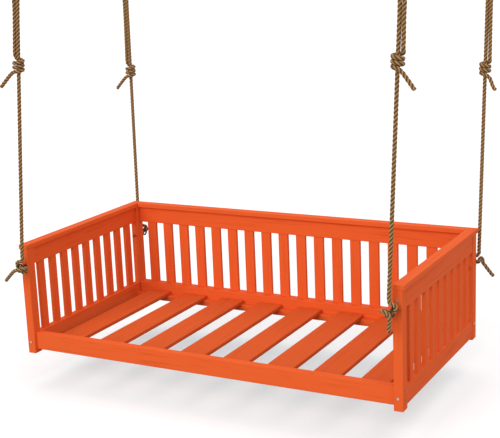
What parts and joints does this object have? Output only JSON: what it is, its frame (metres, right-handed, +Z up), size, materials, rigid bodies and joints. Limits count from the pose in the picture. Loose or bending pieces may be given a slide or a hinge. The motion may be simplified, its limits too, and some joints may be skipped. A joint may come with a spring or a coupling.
{
  "type": "hanging swing bed",
  "caption": "Hanging swing bed: slatted daybed frame railed at the back and both ends, with eye bolts in its posts and knotted ropes looped over ceiling rings.",
  "frame": {"origin": "in the ceiling plane, above the middle of the bed's length and depth", "axes": "+X along the bed to the right end as seen from the open front, +Y to the railed back, +Z up into the ceiling"},
  "size_m": [2.2407, 1.236, 1.9],
  "materials": {
    "painted_wood": "orange paint over sawn boards, satin, slightly worn at the edges",
    "steel": "zinc-plated steel, satin",
    "painted_screws": "screw heads painted over with the boards",
    "rope": "tan three-strand laid rope, matt and slightly hairy"
  },
  "bodies": {
    "ceiling": {"ceiling_ring_front_left": "steel", "ceiling_ring_front_right": "steel", "ceiling_ring_back_left": "steel", "ceiling_ring_back_right": "steel"},
    "front_left_rope": {"rope_front_left": "rope", "wrap_front_left": "rope", "knot_front_left": "rope"},
    "front_right_rope": {"rope_front_right": "rope", "wrap_front_right": "rope", "knot_front_right": "rope"},
    "back_left_rope": {"rope_back_left": "rope", "wrap_back_left": "rope", "knot_back_left": "rope"},
    "back_right_rope": {"rope_back_right": "rope", "wrap_back_right": "rope", "knot_back_right": "rope"},
    "bed": {"post_front_left": "painted_wood", "post_front_right": "painted_wood", "post_back_left": "painted_wood", "post_back_right": "painted_wood", "cap_left": "painted_wood", "cap_right": "painted_wood", "cap_back": "painted_wood", "end_top_rail_left": "painted_wood", "end_top_rail_right": "painted_wood", "end_bottom_rail_left": "painted_wood", "end_bottom_rail_right": "painted_wood", "back_top_rail": "painted_wood", "back_bottom_rail": "painted_wood", "back_seat_rail": "painted_wood", "front_rail": "painted_wood", "front_cleat": "painted_wood", "back_cleat": "painted_wood", "seat_slat_1": "painted_wood", "seat_slat_2": "painted_wood", "seat_slat_3": "painted_wood", "seat_slat_4": "painted_wood", "seat_slat_5": "painted_wood", "seat_slat_6": "painted_wood", "seat_slat_7": "painted_wood", "seat_slat_8": "painted_wood", "left_panel_slats": "painted_wood", "right_panel_slats": "painted_wood", "back_panel_slats": "painted_wood", "post_bolts": "steel", "rail_bolts": "steel", "post_screws": "steel", "seat_screws": "painted_screws", "cleat_screws": "steel", "eye_bolt_front_left": "steel", "eye_bolt_front_right": "steel", "eye_bolt_back_left": "steel", "eye_bolt_back_right": "steel", "eye_washers": "steel", "eye_nuts": "steel"}
  },
  "joints": [
    {"name": "front_left_swing", "type": "hinge", "parent": "ceiling", "child": "front_left_rope", "pos_m": [-0.881, -0.576, -0.04], "axis": [1, 0, 0], "range_deg": [-8, 8]},
    {"name": "front_right_swing", "type": "hinge", "parent": "ceiling", "child": "front_right_rope", "pos_m": [1.064, -0.576, -0.04], "axis": [1, 0, 0], "range_deg": [-8, 8]},
    {"name": "back_left_swing", "type": "hinge", "parent": "ceiling", "child": "back_left_rope", "pos_m": [-1.04, 0.576, -0.04], "axis": [1, 0, 0], "range_deg": [-8, 8]},
    {"name": "back_right_swing", "type": "hinge", "parent": "ceiling", "child": "back_right_rope", "pos_m": [1.078, 0.576, -0.04], "axis": [1, 0, 0], "range_deg": [-8, 8]},
    {"name": "bed_level", "type": "hinge", "parent": "front_left_rope", "child": "bed", "pos_m": [-0.998, -0.576, -1.432], "axis": [1, 0, 0], "range_deg": [-8, 8]}
  ],
  "couplings": [
    {"joint": "front_right_swing", "follows": "front_left_swing", "ratio": 1},
    {"joint": "back_left_swing", "follows": "front_left_swing", "ratio": 0.9437},
    {"joint": "back_right_swing", "follows": "front_left_swing", "ratio": 0.9437},
    {"joint": "bed_level", "follows": "front_left_swing", "ratio": -1}
  ]
}
